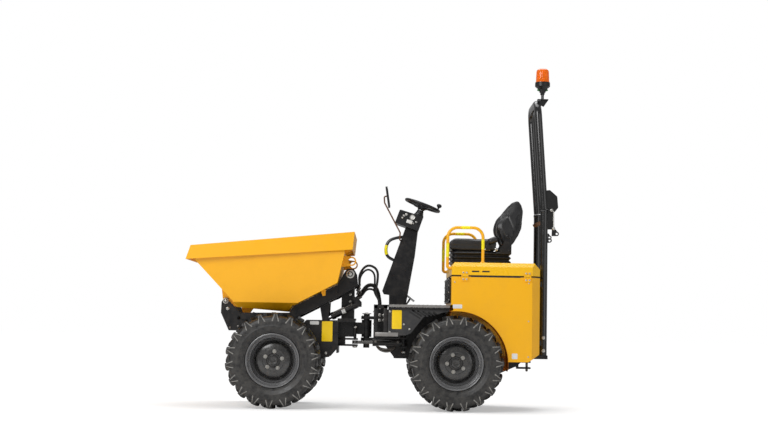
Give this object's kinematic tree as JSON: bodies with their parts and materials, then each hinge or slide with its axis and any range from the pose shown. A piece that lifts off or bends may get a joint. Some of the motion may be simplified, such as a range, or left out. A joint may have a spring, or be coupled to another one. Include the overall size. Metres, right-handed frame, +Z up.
{
  "type": "site dumper",
  "caption": "Small articulated site dumper: high-tip skip on a lift frame over the front wheels, driver seat on a lifting cover and folding roll bar at the rear",
  "frame": {"origin": "centre of the bounding box at ground level", "axes": "-X toward the front (the skip), -Y the machine left, +Z up"},
  "size_m": [2.974, 1.15, 2.786],
  "materials": {
    "skip_paint": "glossy, scuffed inside",
    "body_paint": "glossy",
    "cover_paint": "glossy",
    "steel_paint": "satin black",
    "bar_paint": "gloss black",
    "rim_paint": "satin grey",
    "tyre_rubber": "dusty",
    "rod_chrome": "polished",
    "lock_steel": "bright zinc",
    "iron": "dull",
    "black_plastic": "matt",
    "seat_vinyl": "matt vinyl",
    "seal_rubber": "matt",
    "amber": "clear amber"
  },
  "bodies": {
    "rear_frame": {"rear_chassis": "steel_paint", "rear_axle": "steel_paint", "tow_clevis": "steel_paint", "footplate": "steel_paint", "side_steps": "steel_paint", "side_panels": "steel_paint", "steering_column": "steel_paint", "dash_box": "black_plastic", "wheel_shaft": "rod_chrome", "mirror": "black_plastic", "mirror_rod": "bar_paint", "grab_handle": "bar_paint", "engine_block": "iron", "body_side_left": "body_paint", "body_side_right": "body_paint", "body_rear": "body_paint", "body_front": "body_paint", "cover_seal": "seal_rubber", "roll_bar_lower": "bar_paint", "lock_rods": "lock_steel", "valve_block": "iron", "hydraulic_hoses": "seal_rubber"},
    "front_frame": {"front_chassis": "steel_paint", "tower": "steel_paint", "front_axle": "steel_paint"},
    "lift_frame": {"lift_frame": "steel_paint"},
    "skip": {"skip": "skip_paint"},
    "lift_barrels": {"lift_ram_barrels": "steel_paint"},
    "lift_rods": {"lift_ram_rods": "rod_chrome"},
    "tip_barrel": {"tip_ram_barrel": "steel_paint"},
    "tip_rod": {"tip_ram_rod": "rod_chrome"},
    "steering_barrel": {"steering_ram_barrel": "steel_paint"},
    "steering_rod": {"steering_ram_rod": "rod_chrome"},
    "hoop": {"roll_bar_upper": "bar_paint", "beacon_base": "black_plastic", "beacon_lens": "amber"},
    "cover": {"seat_cover": "cover_paint", "seat_base": "black_plastic", "seat_cushion": "seat_vinyl", "seat_back": "seat_vinyl", "guard_rails": "body_paint"},
    "steering": {"steering_wheel": "black_plastic"},
    "wheel_front_left": {"tyre_front_left": "tyre_rubber", "rim_front_left": "rim_paint"},
    "wheel_front_right": {"tyre_front_right": "tyre_rubber", "rim_front_right": "rim_paint"},
    "wheel_rear_left": {"tyre_rear_left": "tyre_rubber", "rim_rear_left": "rim_paint"},
    "wheel_rear_right": {"tyre_rear_right": "tyre_rubber", "rim_rear_right": "rim_paint"}
  },
  "joints": [
    {"name": "articulation", "type": "hinge", "parent": "rear_frame", "child": "front_frame", "pos_m": [-0.056, 0, 0.64], "axis": [0, 0, 1], "range_deg": [-35, 35]},
    {"name": "lift", "type": "hinge", "parent": "front_frame", "child": "lift_frame", "pos_m": [-0.192, 0, 1.075], "axis": [0, 1, 0], "range_deg": [0, 35]},
    {"name": "tip", "type": "hinge", "parent": "lift_frame", "child": "skip", "pos_m": [-1.189, 0, 0.843], "axis": [0, -1, 0], "range_deg": [0, 85]},
    {"name": "lift_ram_swing", "type": "hinge", "parent": "front_frame", "child": "lift_barrels", "pos_m": [-0.125, 0, 0.84], "axis": [0, 1, 0], "range_deg": [-1, 35]},
    {"name": "lift_ram_stroke", "type": "slide", "parent": "lift_barrels", "child": "lift_rods", "axis": [-0.8985, 0, -0.439], "range_m": [-0.001, 0.15]},
    {"name": "tip_ram_swing", "type": "hinge", "parent": "lift_frame", "child": "tip_barrel", "pos_m": [-0.64, 0, 0.578], "axis": [0, 1, 0], "range_deg": [-1, 23]},
    {"name": "tip_ram_stroke", "type": "slide", "parent": "tip_barrel", "child": "tip_rod", "axis": [-0.9253, 0, 0.3792], "range_m": [-0.001, 0.125]},
    {"name": "steering_ram_swing", "type": "hinge", "parent": "rear_frame", "child": "steering_barrel", "pos_m": [0.248, -0.15, 0.528], "axis": [0, 0, 1], "range_deg": [-9, 9]},
    {"name": "steering_ram_stroke", "type": "slide", "parent": "steering_barrel", "child": "steering_rod", "axis": [-1, 0, 0], "range_m": [-0.093, 0.093]},
    {"name": "roll_bar_fold", "type": "hinge", "parent": "rear_frame", "child": "hoop", "pos_m": [1.425, 0, 1.618], "axis": [0, 1, 0], "range_deg": [0, 130]},
    {"name": "seat_cover_lift", "type": "hinge", "parent": "rear_frame", "child": "cover", "pos_m": [0.9, -0.486, 1.069], "axis": [1, 0, 0], "range_deg": [0, 60]},
    {"name": "steering_wheel_turn", "type": "hinge", "parent": "rear_frame", "child": "steering", "pos_m": [0.388, 0, 1.661], "axis": [0.337, 0, 0.9415], "continuous": true},
    {"name": "wheel_front_left_spin", "type": "hinge", "parent": "front_frame", "child": "wheel_front_left", "pos_m": [-0.782, -0.443, 0.378], "axis": [0, 1, 0], "continuous": true},
    {"name": "wheel_front_right_spin", "type": "hinge", "parent": "front_frame", "child": "wheel_front_right", "pos_m": [-0.782, 0.443, 0.378], "axis": [0, 1, 0], "continuous": true},
    {"name": "wheel_rear_left_spin", "type": "hinge", "parent": "rear_frame", "child": "wheel_rear_left", "pos_m": [0.658, -0.443, 0.378], "axis": [0, 1, 0], "continuous": true},
    {"name": "wheel_rear_right_spin", "type": "hinge", "parent": "rear_frame", "child": "wheel_rear_right", "pos_m": [0.658, 0.443, 0.378], "axis": [0, 1, 0], "continuous": true}
  ],
  "couplings": [
    {"joint": "lift_ram_swing", "follows": "lift", "ratio": 0.9553},
    {"joint": "lift_ram_stroke", "follows": "lift", "m_per_rad": 0.24233},
    {"joint": "tip_ram_swing", "follows": "tip", "ratio": 0.26078},
    {"joint": "tip_ram_stroke", "follows": "tip", "m_per_rad": 0.07863},
    {"joint": "steering_ram_swing", "follows": "articulation", "ratio": 0.22936},
    {"joint": "steering_ram_stroke", "follows": "articulation", "m_per_rad": -0.14789}
  ]
}
